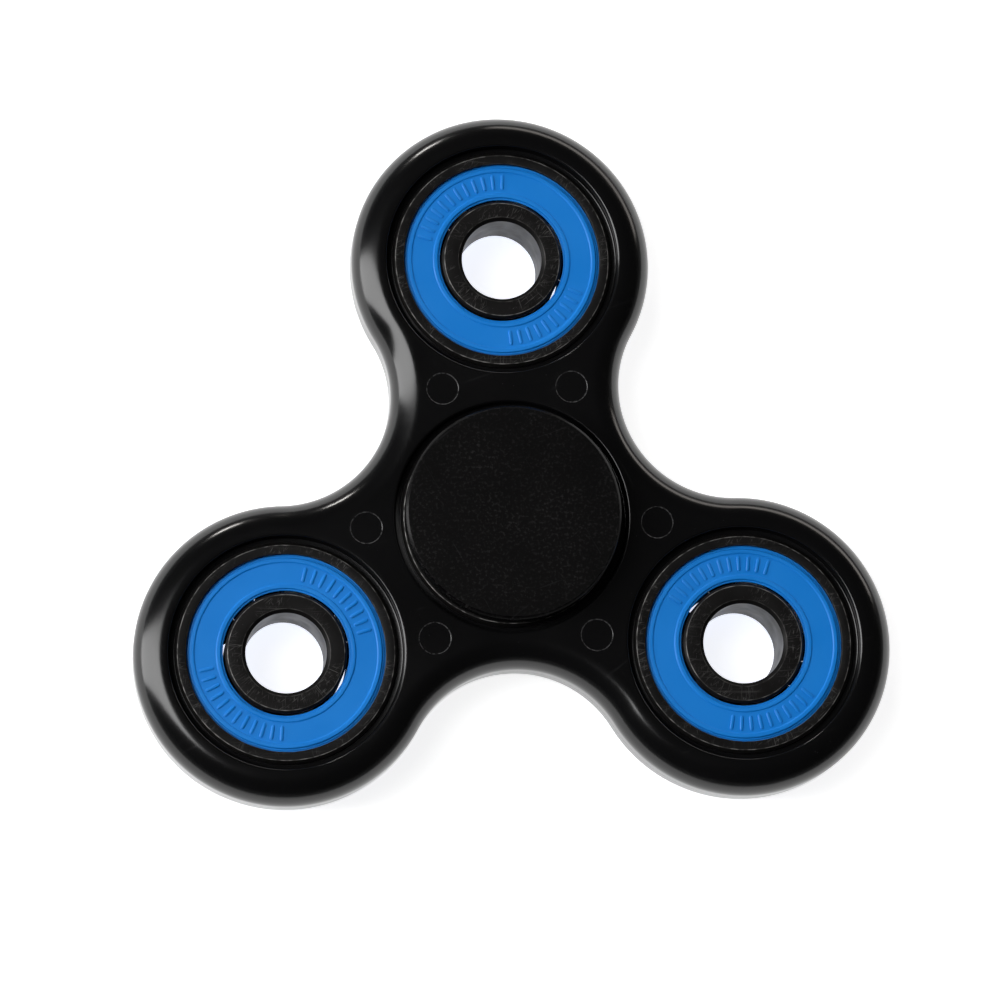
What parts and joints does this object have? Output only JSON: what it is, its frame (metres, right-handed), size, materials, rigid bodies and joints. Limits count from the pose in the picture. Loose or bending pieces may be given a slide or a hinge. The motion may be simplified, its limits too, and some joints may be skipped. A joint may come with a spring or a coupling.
{
  "type": "fidget spinner",
  "caption": "Fidget spinner with rounded arms, a sealed ball bearing in each arm and a central ball bearing held between two finger caps.",
  "frame": {"origin": "centre of the bottom finger cap's flat face, on the spin axis", "axes": "+Z along the spin axis towards the top finger cap, +Y towards arm 1, +X across the two other arms"},
  "size_m": [0.0754, 0.0693, 0.0128],
  "materials": {
    "frame_plastic": "glossy black ABS",
    "cap_plastic": "matte black ABS, spark-eroded texture",
    "ring_steel": "ground bearing steel, blackened",
    "ball_steel": "polished",
    "cage_nylon": "natural nylon",
    "seal_rubber": "satin blue",
    "stiffener_steel": "cold-rolled"
  },
  "bodies": {
    "hub": {"top_cap": "cap_plastic", "bottom_cap": "cap_plastic", "centre_inner_ring": "ring_steel"},
    "centre_ball_set": {"centre_cage": "cage_nylon", "centre_balls": "ball_steel"},
    "spinner": {"frame": "frame_plastic", "centre_outer_ring": "ring_steel", "arm_1_outer_ring": "ring_steel", "arm_1_top_seal": "seal_rubber", "arm_1_bottom_seal": "seal_rubber", "arm_1_top_stiffener": "stiffener_steel", "arm_1_bottom_stiffener": "stiffener_steel", "arm_2_outer_ring": "ring_steel", "arm_2_top_seal": "seal_rubber", "arm_2_bottom_seal": "seal_rubber", "arm_2_top_stiffener": "stiffener_steel", "arm_2_bottom_stiffener": "stiffener_steel", "arm_3_outer_ring": "ring_steel", "arm_3_top_seal": "seal_rubber", "arm_3_bottom_seal": "seal_rubber", "arm_3_top_stiffener": "stiffener_steel", "arm_3_bottom_stiffener": "stiffener_steel"},
    "arm_1_inner": {"arm_1_inner_ring": "ring_steel"},
    "arm_1_ball_set": {"arm_1_cage": "cage_nylon", "arm_1_balls": "ball_steel"},
    "arm_2_inner": {"arm_2_inner_ring": "ring_steel"},
    "arm_2_ball_set": {"arm_2_cage": "cage_nylon", "arm_2_balls": "ball_steel"},
    "arm_3_inner": {"arm_3_inner_ring": "ring_steel"},
    "arm_3_ball_set": {"arm_3_cage": "cage_nylon", "arm_3_balls": "ball_steel"}
  },
  "joints": [
    {"name": "spin", "type": "hinge", "parent": "hub", "child": "spinner", "pos_m": [0, 0, 0.0064], "axis": [0, 0, 1], "continuous": true},
    {"name": "centre_balls_roll", "type": "hinge", "parent": "hub", "child": "centre_ball_set", "pos_m": [0, 0, 0.0064], "axis": [0, 0, 1], "continuous": true},
    {"name": "arm_1_inner_spin", "type": "hinge", "parent": "spinner", "child": "arm_1_inner", "pos_m": [0, 0.0262, 0.0064], "axis": [0, 0, 1], "continuous": true},
    {"name": "arm_1_balls_roll", "type": "hinge", "parent": "spinner", "child": "arm_1_ball_set", "pos_m": [0, 0.0262, 0.0064], "axis": [0, 0, 1], "continuous": true},
    {"name": "arm_2_inner_spin", "type": "hinge", "parent": "spinner", "child": "arm_2_inner", "pos_m": [-0.02269, -0.0131, 0.0064], "axis": [0, 0, 1], "continuous": true},
    {"name": "arm_2_balls_roll", "type": "hinge", "parent": "spinner", "child": "arm_2_ball_set", "pos_m": [-0.02269, -0.0131, 0.0064], "axis": [0, 0, 1], "continuous": true},
    {"name": "arm_3_inner_spin", "type": "hinge", "parent": "spinner", "child": "arm_3_inner", "pos_m": [0.02269, -0.0131, 0.0064], "axis": [0, 0, 1], "continuous": true},
    {"name": "arm_3_balls_roll", "type": "hinge", "parent": "spinner", "child": "arm_3_ball_set", "pos_m": [0.02269, -0.0131, 0.0064], "axis": [0, 0, 1], "continuous": true}
  ],
  "couplings": [
    {"joint": "centre_balls_roll", "follows": "spin", "ratio": 0.6323},
    {"joint": "arm_1_balls_roll", "follows": "arm_1_inner_spin", "ratio": 0.3677},
    {"joint": "arm_2_balls_roll", "follows": "arm_2_inner_spin", "ratio": 0.3677},
    {"joint": "arm_3_balls_roll", "follows": "arm_3_inner_spin", "ratio": 0.3677}
  ]
}
